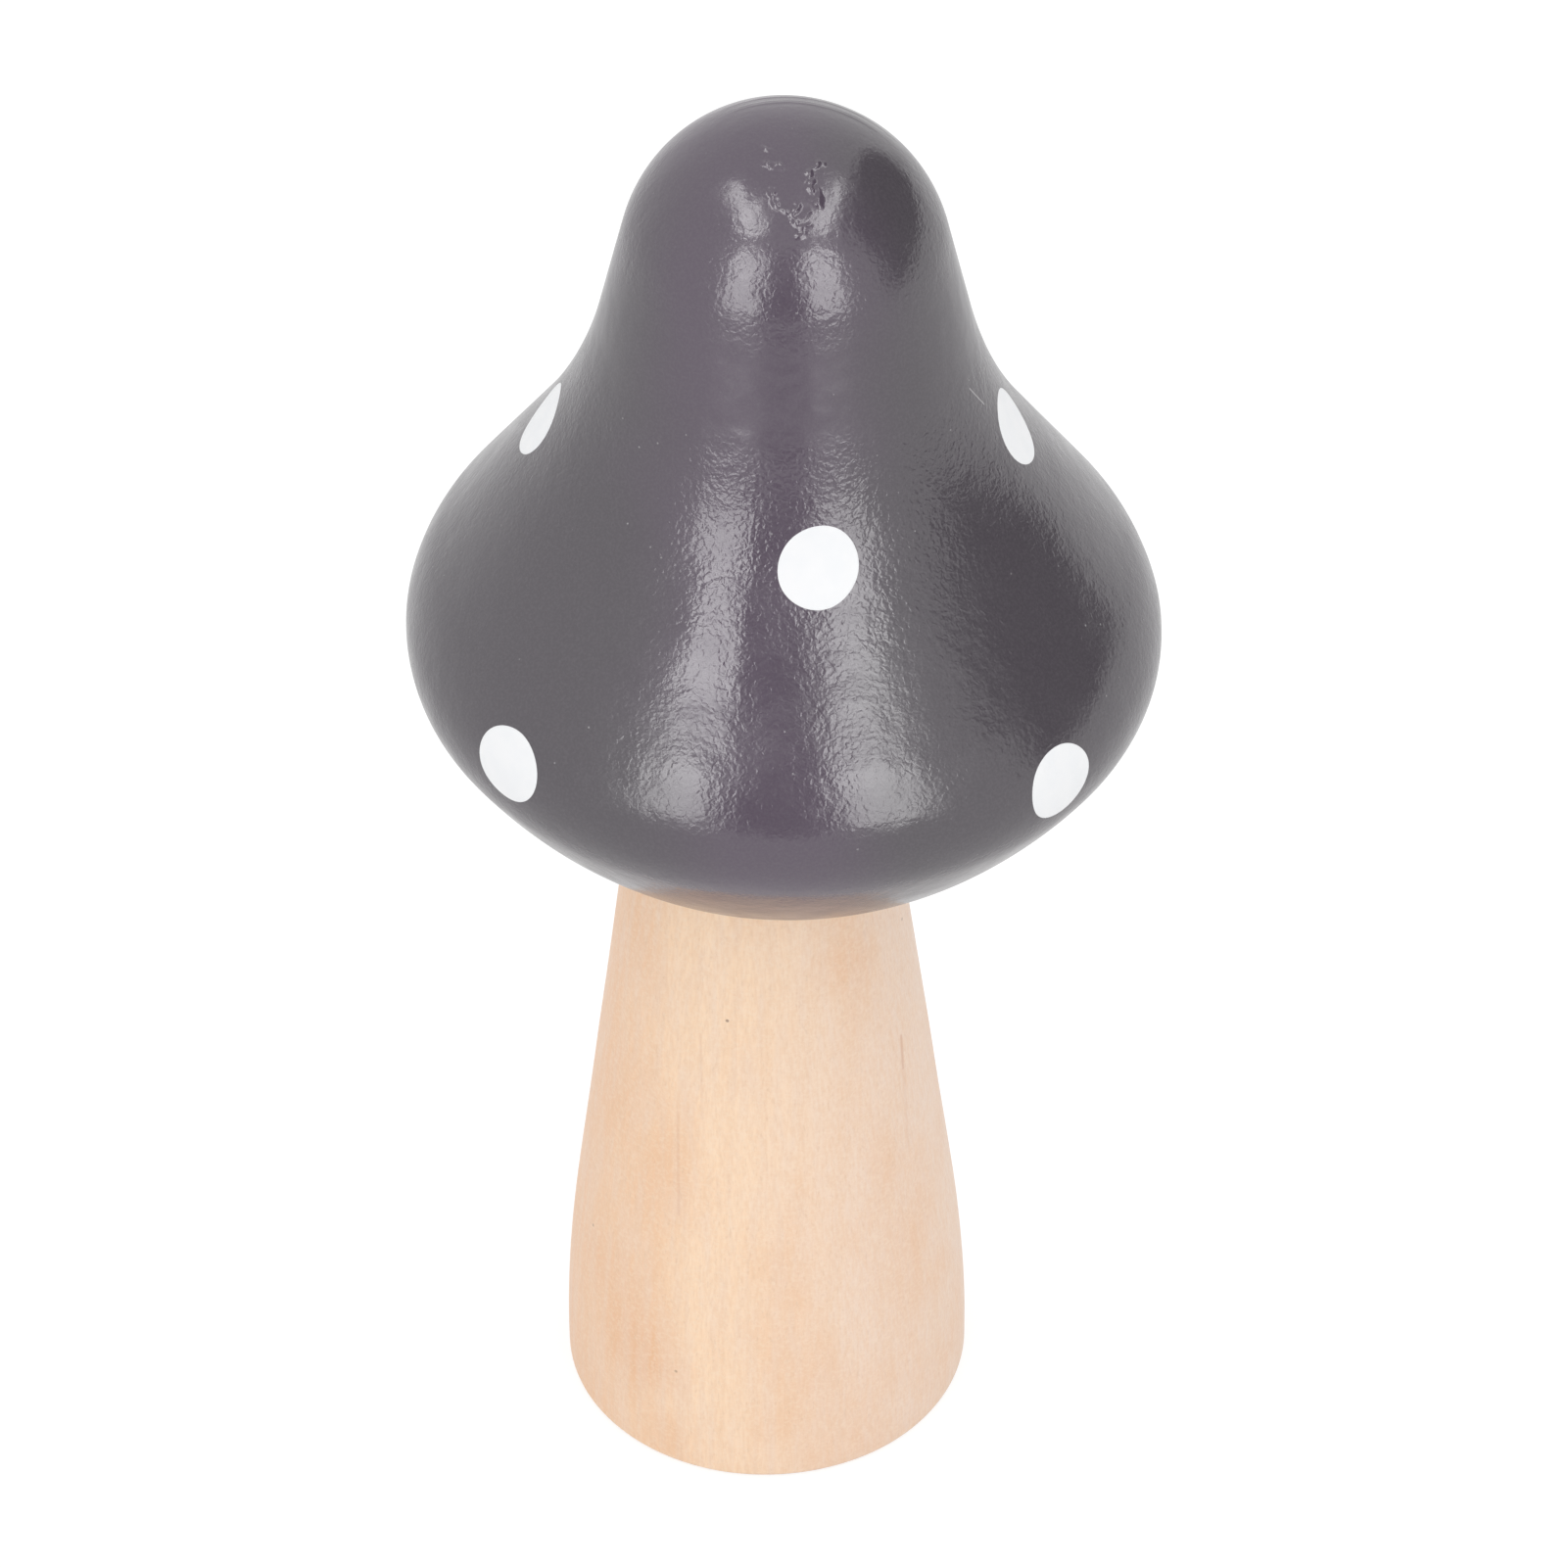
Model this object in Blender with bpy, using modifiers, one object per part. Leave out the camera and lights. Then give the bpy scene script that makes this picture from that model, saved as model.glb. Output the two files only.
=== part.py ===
"""A turned wooden mushroom ornament: a bare stem, a painted bell-shaped cap, the dowel
that joins them and eight round white spots. Metres, +Z up, standing on the XY plane,
with the origin at the centre of the stem's foot and the front towards -Y."""

import math

import bmesh
import bpy
from mathutils import Matrix

# Stem
STEM_HEIGHT = 0.0624
FOOT_RADIUS = 0.01745
FOOT_EDGE_RADIUS = 0.0006
BARREL_RADIUS = 0.140
TAPER = math.radians(7.5)

# Cap, from the tip of the crown down its outside to the seat.
# A slope is 0 where the surface runs level outwards and 90 degrees where it runs straight down.
CROWN_RADIUS = 0.01275
NECK_SLOPE = math.radians(76)
NECK_RUN = 0.00795
HOLLOW_RADIUS = 0.0385
SKIRT_SLOPE = math.radians(53)
SKIRT_RUN = 0.0108
SHOULDER_RADIUS = 0.0141
SHOULDER_END = math.radians(73)
RIM_RADIUS = 0.0086
RIM_END = math.radians(122.5)
UNDERSIDE_RADIUS = 0.040
UNDERSIDE_END = math.radians(143.5)
SEAT_EDGE_RADIUS = 0.011

# How the cap sits on the stem: set over to the right, leaning a little that way,
# while its crown wanders back to the left as it rises
CAP_OFFSET = 0.00177
CAP_LEAN = math.radians(1.3)
CROWN_DRIFT = 0.0136

# Joining dowel and the blind holes it is glued into
DOWEL_RADIUS = 0.004
DOWEL_LENGTH = 0.030
DOWEL_DEPTH_IN_STEM = 0.015
DOWEL_CHAMFER = 0.0006
HOLE_END_ROOM = 0.001
GLUE_GAP = 0.0003

# Painted spots
SPOT_RADIUS = 0.0032
SPOT_THICKNESS = 0.0003
SPOT_GAP = 0.0003

# Each spot's turn from the front towards +X, and its rise up the surface from the cap's widest line
SPOTS = {
    "spot_upper_front": (math.radians(7.9), 0.0226),
    "spot_upper_right": (math.radians(84.5), 0.0241),
    "spot_upper_back": (math.radians(175.0), 0.0228),
    "spot_upper_left": (math.radians(-94.1), 0.0218),
    "spot_lower_right": (math.radians(45.1), 0.0009),
    "spot_lower_left": (math.radians(-45.7), 0.0018),
    "spot_lower_back_right": (math.radians(135.0), 0.0013),
    "spot_lower_back_left": (math.radians(-135.0), 0.0014),
}

# Fineness of the round surfaces. A bend's chords stay within the outline's error of the true curve.
SIDES = 72
DOWEL_SIDES = 32
SPOT_SIDES = 24
SPOT_RINGS = 3
OUTLINE_ERROR = 0.00002
SHARP_ANGLE = math.radians(35)

UPRIGHT = math.radians(90)


def bend(radius, start, end):
    """A curved run of an outline: its length and the slopes at its two ends."""
    return radius * abs(end - start), start, end


def straight(length, slope):
    """A straight run of an outline."""
    return length, slope, slope


def follow(runs, distance):
    """The point (x, z) and the slope at a distance along the runs, which start at (0, 0)."""
    x = z = slope = 0.0
    for length, start, end in runs:
        share = min(distance / length, 1.0)
        half_turn = (end - start) * share / 2
        chord = length * share
        if half_turn:
            chord *= math.sin(half_turn) / half_turn
        x += chord * math.cos(start + half_turn)
        z -= chord * math.sin(start + half_turn)
        slope = start + 2 * half_turn
        distance -= length * share
        if distance <= 0:
            break
    return x, z, slope


def chords(length, start, end):
    """How many straight chords draw a run within the outline's error: one where it is straight."""
    turn = abs(end - start)
    if turn == 0:
        return 1
    radius = length / turn
    widest_step = 2 * math.acos(1 - min(OUTLINE_ERROR / radius, 1.0))
    return math.ceil(turn / widest_step)


def outline(runs):
    """Points (x, z) along the runs, close enough together to draw each bend round."""
    points = [(0.0, 0.0)]
    done = 0.0
    for length, start, end in runs:
        pieces = chords(length, start, end)
        for piece in range(1, pieces + 1):
            points.append(follow(runs, done + length * piece / pieces)[:2])
        done += length
    return points


CAP_RUNS = [
    bend(CROWN_RADIUS, 0.0, NECK_SLOPE),
    straight(NECK_RUN, NECK_SLOPE),
    bend(HOLLOW_RADIUS, NECK_SLOPE, SKIRT_SLOPE),
    straight(SKIRT_RUN, SKIRT_SLOPE),
    bend(SHOULDER_RADIUS, SKIRT_SLOPE, SHOULDER_END),
    bend(RIM_RADIUS, SHOULDER_END, RIM_END),
    bend(UNDERSIDE_RADIUS, RIM_END, UNDERSIDE_END),
    bend(SEAT_EDGE_RADIUS, UNDERSIDE_END, 2 * UPRIGHT),
]
CAP_HEIGHT = -outline(CAP_RUNS)[-1][1]
WIDEST_LINE = sum(run[0] for run in CAP_RUNS[:5]) + RIM_RADIUS * (UPRIGHT - SHOULDER_END)

# The cap leans as one turned piece, and each height of it is also moved sideways by the crown's drift
DRIFT = Matrix(((1, 0, -CROWN_DRIFT, 0), (0, 1, 0, 0), (0, 0, 1, 0), (0, 0, 0, 1)))


def collection(name):
    made = bpy.data.collections.new(name)
    bpy.context.scene.collection.children.link(made)
    return made


def material(name, colour, roughness, coat=0.0):
    made = bpy.data.materials.new(name)
    made.use_nodes = True
    shader = made.node_tree.nodes["Principled BSDF"]
    shader.inputs["Base Color"].default_value = (*colour, 1.0)
    shader.inputs["Roughness"].default_value = roughness
    shader.inputs["Metallic"].default_value = 0.0
    shader.inputs["Coat Weight"].default_value = coat
    made.diffuse_color = (*colour, 1.0)
    return made


def add_object(name, mesh, into, parent=None):
    obj = bpy.data.objects.new(name, mesh)
    into.objects.link(obj)
    obj.parent = parent
    return obj


def add_turned(name, profile, sides, into, parent=None):
    """A profile in the XZ plane, from its top on the axis round its outside, turned about Z."""
    mesh = bpy.data.meshes.new(name)
    corners = [(x, 0.0, z) for x, z in profile]
    edges = [(i, i + 1) for i in range(len(corners) - 1)]
    mesh.from_pydata(corners, edges, [])
    obj = add_object(name, mesh, into, parent)
    screw = obj.modifiers.new("turn", "SCREW")
    screw.axis = "Z"
    screw.steps = sides
    screw.render_steps = sides
    screw.use_merge_vertices = True
    screw.merge_threshold = 0.00001
    screw.use_smooth_shade = True
    return obj


def settle(obj):
    """Turns an object's modifiers into its own mesh."""
    graph = bpy.context.evaluated_depsgraph_get()
    mesh = bpy.data.meshes.new_from_object(obj.evaluated_get(graph))
    obj.modifiers.clear()
    obj.data = mesh
    mesh.shade_smooth()
    mesh.set_sharp_from_angle(angle=SHARP_ANGLE)


def cut(obj, cutter):
    boolean = obj.modifiers.new(cutter.name, "BOOLEAN")
    boolean.operation = "DIFFERENCE"
    boolean.solver = "EXACT"
    boolean.object = cutter


def add_cutter(name, shape, parent, into):
    mesh = bpy.data.meshes.new(name)
    shape.to_mesh(mesh)
    shape.free()
    obj = add_object(name, mesh, into, parent)
    obj.hide_render = True
    obj.display_type = "WIRE"
    return obj


def add_saw_cut(seat, cutters):
    """The block above the stem's sawn top, square to the cap's own axis."""
    width = 4 * FOOT_RADIUS
    shape = bmesh.new()
    lift = Matrix.Translation((0, 0, width / 2 - GLUE_GAP))
    bmesh.ops.create_cube(shape, size=width, matrix=lift)
    return add_cutter("saw_cut", shape, seat, cutters)


def add_dowel_hole(seat, cutters):
    """One bore through the joint: the blind hole in the stem and the one in the cap."""
    bottom = -DOWEL_DEPTH_IN_STEM - HOLE_END_ROOM
    top = DOWEL_LENGTH - DOWEL_DEPTH_IN_STEM + HOLE_END_ROOM
    shape = bmesh.new()
    bmesh.ops.create_cone(
        shape,
        cap_ends=True,
        segments=DOWEL_SIDES,
        radius1=DOWEL_RADIUS + GLUE_GAP,
        radius2=DOWEL_RADIUS + GLUE_GAP,
        depth=top - bottom,
        matrix=Matrix.Translation((0, 0, (top + bottom) / 2)),
    )
    return add_cutter("dowel_hole", shape, seat, cutters)


def add_stem(parts, wood, saw_cut, dowel_hole):
    """Tapered and slightly barrelled at the foot, turned over-long and sawn off under the cap."""
    turned_height = STEM_HEIGHT + FOOT_RADIUS * math.tan(CAP_LEAN)
    taper_height = turned_height - FOOT_EDGE_RADIUS - BARREL_RADIUS * math.sin(TAPER)
    side = outline([
        straight(taper_height / math.cos(TAPER), UPRIGHT - TAPER),
        bend(BARREL_RADIUS, UPRIGHT - TAPER, UPRIGHT),
        bend(FOOT_EDGE_RADIUS, UPRIGHT, 2 * UPRIGHT),
    ])
    widen = FOOT_RADIUS - max(x for x, z in side)
    profile = [(0.0, turned_height)]
    profile += [(x + widen, z + turned_height) for x, z in side]
    profile += [(0.0, 0.0)]
    stem = add_turned("stem", profile, SIDES, parts)
    settle(stem)
    stem.data.materials.append(wood)
    cut(stem, saw_cut)
    cut(stem, dowel_hole)
    return stem


def add_cap(parts, seat, paint, dowel_hole):
    """The bell-shaped cap, solid but for the dowel's hole in its flat seat."""
    profile = [(x, z + CAP_HEIGHT) for x, z in outline(CAP_RUNS)]
    profile += [(0.0, 0.0)]
    cap = add_turned("cap", profile, SIDES, parts, seat)
    settle(cap)
    cap.data.transform(DRIFT)
    cap.data.materials.append(paint)
    cut(cap, dowel_hole)
    return cap


def add_dowel(parts, seat, wood):
    """A plain round pin with chamfered ends, half in the stem and half in the cap."""
    bottom = -DOWEL_DEPTH_IN_STEM
    top = bottom + DOWEL_LENGTH
    narrow = DOWEL_RADIUS - DOWEL_CHAMFER
    profile = [
        (0.0, top),
        (narrow, top),
        (DOWEL_RADIUS, top - DOWEL_CHAMFER),
        (DOWEL_RADIUS, bottom + DOWEL_CHAMFER),
        (narrow, bottom),
        (0.0, bottom),
    ]
    dowel = add_turned("dowel", profile, DOWEL_SIDES, parts, seat)
    settle(dowel)
    dowel.data.materials.append(wood)
    return dowel


def add_spot(name, turn, rise, cap, parts, seat, white):
    """A thin round disc laid down onto the cap's surface, so that it takes the surface's own curve."""
    x, z, slope = follow(CAP_RUNS, WIDEST_LINE - rise)
    hover = SPOT_RADIUS
    profile = [(SPOT_RADIUS * ring / SPOT_RINGS, hover) for ring in range(SPOT_RINGS + 1)]
    spot = add_turned(name, profile, SPOT_SIDES, parts, seat)
    spot.data.materials.append(white)
    around = Matrix.Rotation(turn - UPRIGHT, 4, "Z")
    tip_over = Matrix.Rotation(slope, 4, "Y")
    on_side = around @ Matrix.Translation((x, 0, z + CAP_HEIGHT))
    place = (DRIFT @ on_side).to_translation()
    spot.matrix_basis = Matrix.Translation(place) @ around @ tip_over
    lay = spot.modifiers.new("lay_on_cap", "SHRINKWRAP")
    lay.target = cap
    lay.wrap_method = "PROJECT"
    lay.wrap_mode = "ABOVE_SURFACE"
    lay.use_project_z = True
    lay.use_negative_direction = True
    lay.use_positive_direction = False
    lay.offset = SPOT_GAP
    thicken = spot.modifiers.new("thickness", "SOLIDIFY")
    thicken.thickness = SPOT_THICKNESS
    thicken.offset = 1.0
    return spot


def build():
    for obj in list(bpy.data.objects):
        bpy.data.objects.remove(obj, do_unlink=True)
    parts = collection("mushroom_ornament")
    cutters = collection("cutters")
    bare_wood = material("bare_wood", (0.83, 0.62, 0.45), 0.5)
    dowel_wood = material("dowel_wood", (0.70, 0.52, 0.34), 0.6)
    cap_paint = material("cap_paint", (0.135, 0.125, 0.145), 0.35, coat=0.3)
    spot_paint = material("spot_paint", (0.88, 0.89, 0.91), 0.4)

    seat = add_object("cap_seat", None, parts)
    seat.location = (CAP_OFFSET, 0.0, STEM_HEIGHT + GLUE_GAP)
    seat.rotation_euler = (0.0, CAP_LEAN, 0.0)

    saw_cut = add_saw_cut(seat, cutters)
    dowel_hole = add_dowel_hole(seat, cutters)
    add_stem(parts, bare_wood, saw_cut, dowel_hole)
    cap = add_cap(parts, seat, cap_paint, dowel_hole)
    add_dowel(parts, seat, dowel_wood)
    for name, (turn, rise) in SPOTS.items():
        add_spot(name, turn, rise, cap, parts, seat, spot_paint)


build()
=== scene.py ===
# %% [markdown]
# # A turned wooden mushroom
#
# The real ornament is two pieces of hardwood turned on a lathe. A pale, bare stem stands on its sawn
# foot. It carries a bell-shaped cap under dark, faintly violet satin paint, dotted with round white
# spots. A dowel that nobody sees joins the two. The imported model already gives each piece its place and
# size, so this lesson only dresses it: smoother surfaces, paint and wood, a camera where the
# photographer stood, and a soft studio.

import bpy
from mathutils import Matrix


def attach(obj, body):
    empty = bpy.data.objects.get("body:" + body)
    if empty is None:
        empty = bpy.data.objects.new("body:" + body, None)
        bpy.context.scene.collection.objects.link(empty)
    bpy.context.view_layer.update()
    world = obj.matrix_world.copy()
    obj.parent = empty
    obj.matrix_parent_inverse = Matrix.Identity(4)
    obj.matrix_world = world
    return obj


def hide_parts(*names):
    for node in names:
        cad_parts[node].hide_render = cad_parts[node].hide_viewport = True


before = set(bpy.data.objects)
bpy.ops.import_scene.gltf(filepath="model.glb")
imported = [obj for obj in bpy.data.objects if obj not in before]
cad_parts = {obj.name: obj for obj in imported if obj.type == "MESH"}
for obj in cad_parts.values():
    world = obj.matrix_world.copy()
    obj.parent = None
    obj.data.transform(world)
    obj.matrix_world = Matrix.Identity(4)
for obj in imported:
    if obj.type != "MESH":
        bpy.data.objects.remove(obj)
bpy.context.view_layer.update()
print("The packed model holds", len(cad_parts), "pieces:", ", ".join(sorted(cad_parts)))

# %% [markdown]
# Blender works in metres, but a maker thinks in millimetres. Writing sizes as `3.2 * MM` keeps both
# happy.

# %% The tools this lesson needs
import math
import random

import bmesh
import bpy
import numpy as np
from mathutils import Matrix, Vector, noise
from mathutils.bvhtree import BVHTree

MM = 0.001
scene = bpy.context.scene

# %% [markdown]
# ## The camera
#
# The photographer held a long lens 46 cm away and looked down at almost 40 degrees, with the camera
# turned a hair off level. A camera could be aimed with a Track To constraint, but two plain rotations
# say the same thing without a helper object: roll about the line of sight first, then tilt up from
# looking straight down.

# %% Camera
UPRIGHT = math.radians(90)
CAMERA_TILT = math.radians(39.63)
CAMERA_ROLL = math.radians(-0.40)
CAMERA_DISTANCE = 460 * MM
CAMERA_AIM = Vector((1.84 * MM, 0.0, 63.12 * MM))
LENS_LENGTH = 129.71
SENSOR_WIDTH = 36.0


def add_camera():
    lens = bpy.data.cameras.new("camera")
    lens.lens = LENS_LENGTH
    lens.sensor_width = SENSOR_WIDTH
    camera = bpy.data.objects.new("camera", lens)
    scene.collection.objects.link(camera)
    tilt = Matrix.Rotation(UPRIGHT - CAMERA_TILT, 4, "X")
    roll = Matrix.Rotation(CAMERA_ROLL, 4, "Z")
    away = tilt @ Vector((0, 0, CAMERA_DISTANCE))
    camera.matrix_world = Matrix.Translation(CAMERA_AIM + away) @ tilt @ roll
    return camera


scene.camera = add_camera()
print("The camera stands at", [round(value, 3) for value in scene.camera.matrix_world.to_translation()])

# %% [markdown]
# ## The turner's outline
#
# A turner works from a template: one line from the tip of the crown down to the seat. That line is a
# chain of straight cuts and round bends that meet without a kink. Instead of listing points, each run
# keeps its length and the slope at its two ends, and `follow` walks along the chain to any distance. A
# slope is 0 where the surface runs level outwards, and 90 degrees where it runs straight down.

# %% The outline as a chain of runs
def bend(radius, start, end):
    return radius * abs(end - start), start, end


def straight(length, slope):
    return length, slope, slope


def follow(runs, distance):
    """The point (radius, height) and the slope at a distance along the runs, which start at (0, 0)."""
    x = z = slope = 0.0
    for length, start, end in runs:
        share = min(distance / length, 1.0)
        half_turn = (end - start) * share / 2
        chord = length * share
        if half_turn:
            chord *= math.sin(half_turn) / half_turn
        x += chord * math.cos(start + half_turn)
        z -= chord * math.sin(start + half_turn)
        slope = start + 2 * half_turn
        distance -= length * share
        if distance <= 0:
            break
    return x, z, slope


def length_of(runs):
    return sum(run[0] for run in runs)


# %% The cap's runs
CROWN_RADIUS = 12.75 * MM
NECK_SLOPE = math.radians(76)
NECK_RUN = 7.95 * MM
FLARE_RADIUS = 38.5 * MM
SKIRT_SLOPE = math.radians(53)
SKIRT_RUN = 10.8 * MM
SHOULDER_RADIUS = 14.1 * MM
SHOULDER_END = math.radians(73)
RIM_RADIUS = 8.6 * MM
RIM_END = math.radians(122.5)
UNDERSIDE_RADIUS = 40 * MM
UNDERSIDE_END = math.radians(143.5)
SEAT_EDGE_RADIUS = 11 * MM

ABOVE_RIM = [
    bend(CROWN_RADIUS, 0.0, NECK_SLOPE),
    straight(NECK_RUN, NECK_SLOPE),
    bend(FLARE_RADIUS, NECK_SLOPE, SKIRT_SLOPE),
    straight(SKIRT_RUN, SKIRT_SLOPE),
    bend(SHOULDER_RADIUS, SKIRT_SLOPE, SHOULDER_END),
]
CAP_RUNS = [
    *ABOVE_RIM,
    bend(RIM_RADIUS, SHOULDER_END, RIM_END),
    bend(UNDERSIDE_RADIUS, RIM_END, UNDERSIDE_END),
    bend(SEAT_EDGE_RADIUS, UNDERSIDE_END, 2 * UPRIGHT),
]
CAP_LENGTH = length_of(CAP_RUNS)
CAP_HEIGHT = -follow(CAP_RUNS, CAP_LENGTH)[1]
WIDEST_LINE = length_of(ABOVE_RIM) + RIM_RADIUS * (UPRIGHT - SHOULDER_END)
print("The cap is", round(CAP_HEIGHT / MM, 2), "mm tall")
print("Its outline is", round(CAP_LENGTH / MM, 1), "mm long")

# %% [markdown]
# No hand-finished mushroom is perfectly true. This cap sits a little to the right on its stem, leans a
# bit over one degree that way, and its crown drifts back to the left as it rises. The lean is a rotation
# about the seat. The drift is a shear: each height slides sideways in proportion.

# %% How the cap sits on the stem
STEM_HEIGHT = 62.4 * MM
GLUE_GAP = 0.3 * MM
CAP_OFFSET = 1.77 * MM
CAP_LEAN = math.radians(1.3)
CROWN_DRIFT = 0.0136

SEAT = Matrix.Translation((CAP_OFFSET, 0, STEM_HEIGHT + GLUE_GAP)) @ Matrix.Rotation(CAP_LEAN, 4, "Y")
DRIFT = Matrix(((1, 0, -CROWN_DRIFT, 0), (0, 1, 0, 0), (0, 0, 1, 0), (0, 0, 0, 1)))

# %% [markdown]
# ## Turning a surface
#
# A Screw modifier could spin the outline, but then every point would sit exactly on the ideal shape.
# Building the rings in numpy costs no more, and each point can be pushed in or out a little on its way,
# which is how the paint's wrinkles get real depth. The outline's first and last points lie on the axis
# and close the surface.

# %% Turn an outline into a closed mesh
CREASE = math.radians(35)


def ring_faces(rings, sides):
    """Faces that join a top point, the rings below it and a bottom point."""
    faces = []
    for side in range(sides):
        beside = (side + 1) % sides
        faces.append((0, 1 + side, 1 + beside))
        for ring in range(rings - 1):
            above = 1 + ring * sides
            below = above + sides
            faces.append((above + side, below + side, below + beside, above + beside))
        last = 1 + (rings - 1) * sides
        faces.append((last + side, last + sides, last + beside))
    return faces


def ring_points(radii, heights, sides):
    """A grid of points, outline by sides. Side 0 faces the front, and the sides run on towards +X."""
    turns = np.linspace(0, 2 * np.pi, sides, endpoint=False)
    x = np.outer(radii, np.sin(turns))
    y = -np.outer(radii, np.cos(turns))
    z = np.outer(heights, np.ones(sides))
    return np.stack([x, y, z], axis=-1)


def add_piece(name, points, faces):
    mesh = bpy.data.meshes.new(name)
    mesh.from_pydata(points, [], faces)
    mesh.shade_smooth()
    mesh.set_sharp_from_angle(angle=CREASE)
    piece = bpy.data.objects.new(name, mesh)
    scene.collection.objects.link(piece)
    return piece


def add_turned(name, grid):
    """A closed piece from a grid of rings whose first and last ring are single points."""
    points = [grid[0, 0], *grid[1:-1].reshape(-1, 3), grid[-1, 0]]
    return add_piece(name, points, ring_faces(len(grid) - 2, grid.shape[1]))


# %% [markdown]
# ## Where the paint moved
#
# Thick paint ran on the crown and set in a V of small wrinkles on its front. They catch the light as
# flecks, so they're modelled, not only shaded. Each run of wrinkles is a line of knots on the unrolled
# surface, and short ridges with a round section are strung along it like beads. The paint piled up as
# it ran down, so most ridges lie across the slope. A knot is a turn from the front in degrees and a
# distance from the tip in mm.

# %% Wrinkles in the paint on the crown
WRINKLE_RUNS = [
    [(-31, 3.3), (-18.5, 3.4)],
    [(-24, 4.4), (-16.8, 4.6), (-9.5, 4.5), (-3.5, 4.9)],
    [(34.5, 5.0), (28, 4.7), (19.8, 5.2), (15.8, 6.0), (15.8, 6.9), (15.8, 7.6), (15.8, 8.2)],
    [(21, 6.8), (19.2, 7.9), (17, 8.2)],
    [
        (-10.5, 6.5), (-8.8, 7.1), (-7, 7.8), (-2.2, 8.4), (2.5, 8.7),
        (4.2, 9.2), (7, 9.5), (8.8, 9.9), (6.5, 10.4),
    ],
    [(6.5, 7.9), (4.5, 8.5), (6, 9.3)],
    [(12.2, 8.4), (9.5, 9.0), (8.5, 9.6)],
]
WRINKLE_WIDTH = 0.16 * MM
WRINKLE_SPACING = 0.20 * MM
WRINKLE_SCATTER = 0.12 * MM
WRINKLE_SWING = math.radians(35)
WRINKLE_HALF_LENGTH = (0.03 * MM, 0.18 * MM)
WRINKLE_HEIGHT = (0.045 * MM, 0.105 * MM)
WRINKLE_SEED = 11


def unrolled(turn, distance):
    """A turn in degrees and a distance in mm as a point on the surface laid out flat."""
    radius = follow(CAP_RUNS, distance * MM)[0]
    return np.array([radius * math.radians(turn), distance * MM])


def string_wrinkles(run, chance):
    """Short ridges scattered along a run, each as its two ends on the flat surface and its height."""
    knots = [unrolled(*knot) for knot in run]
    ridges = []
    for start, end in zip(knots, knots[1:]):
        count = max(1, round(np.linalg.norm(end - start) / WRINKLE_SPACING))
        for step in range(count):
            aside = np.array([chance.gauss(0, WRINKLE_SCATTER), chance.gauss(0, WRINKLE_SCATTER)])
            middle = start + (end - start) * (step + 0.5) / count + aside
            heading = chance.gauss(0, WRINKLE_SWING)
            half = chance.uniform(*WRINKLE_HALF_LENGTH) * np.array([math.cos(heading), math.sin(heading)])
            ridges.append((middle - half, middle + half, chance.uniform(*WRINKLE_HEIGHT)))
    return ridges


def ridge(flat, start, end, height):
    """The height of one wrinkle over each point of the unrolled surface."""
    along = end - start
    share = np.clip(((flat - start) @ along) / (along @ along), 0, 1)
    away = np.linalg.norm(flat - start - share[..., None] * along, axis=-1)
    return height * np.exp(-(away / WRINKLE_WIDTH) ** 2)


def lay_flat(turns, distances, radii):
    """Every point of the cap's outside on the surface laid out flat."""
    return np.stack([np.outer(radii, turns), np.outer(distances, np.ones(len(turns)))], axis=-1)


def wrinkles(flat):
    chance = random.Random(WRINKLE_SEED)
    places = [place for run in WRINKLE_RUNS for place in string_wrinkles(run, chance)]
    print("Strung", len(places), "wrinkles along", len(WRINKLE_RUNS), "runs")
    return sum(ridge(flat, *place) for place in places)


# %% [markdown]
# On the far side of the crown, the knife's last light sweeps left three faint marks that lie askew to
# the axis. Each mark is the line where a slanted plane cuts the round crown, so its relief depends only
# on how far a point lies from that plane. The marks fade out at both ends.

# %% Turning marks on the crown
MARK_FACING = Vector((0.04, -0.77, 0.64)).normalized()
MARK_OFFSETS = (3.6 * MM, 4.8 * MM, 5.2 * MM)
MARK_WIDTH = 0.20 * MM
MARK_HEIGHT = 0.045 * MM
MARK_START = (-6 * MM, -1 * MM)
MARK_END = (9 * MM, 5 * MM)


def smooth_step(values, start, end):
    share = np.clip((values - start) / (end - start), 0, 1)
    return share * share * (3 - 2 * share)


def turning_marks(grid):
    from_centre = grid - np.array([0, 0, CAP_HEIGHT - CROWN_RADIUS])
    depth = from_centre @ np.array(MARK_FACING)
    lines = sum(np.exp(-((depth - offset) / MARK_WIDTH) ** 2) for offset in MARK_OFFSETS)
    sideways = grid[..., 0]
    fading = smooth_step(sideways, *MARK_START) * smooth_step(sideways, *MARK_END)
    return MARK_HEIGHT * lines * fading


# %% [markdown]
# Sanding by hand leaves a turned surface very slightly wavy, by a few hundredths of a millimetre.
# Nobody sees the waves themselves, but the edges of the reflections wander because of them. A low
# swelling on the skirt, a sixth of a millimetre high, squeezes the left reflection from its outer side.
# It's made of four round humps that run into each other, and a fifth, lower one narrows the same
# reflection near the rim. A hump is a turn in degrees, a distance from the tip, a radius and a height
# in mm.

# %% Waves and humps left by sanding
WAVE_LENGTH = 9 * MM
WAVE_HEIGHT = 0.030 * MM
HUMPS = [
    (-19.2, 38.3, 2.4, 0.17),
    (-19.4, 41.6, 2.4, 0.17),
    (-9.2, 38.3, 2.4, 0.17),
    (-9.2, 41.6, 2.4, 0.17),
    (-14.0, 54.0, 3.0, 0.08),
]


def sanding_waves(grid):
    waves = [noise.noise(Vector(point) / WAVE_LENGTH) for point in grid.reshape(-1, 3)]
    return WAVE_HEIGHT * np.array(waves).reshape(grid.shape[:2])


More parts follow.
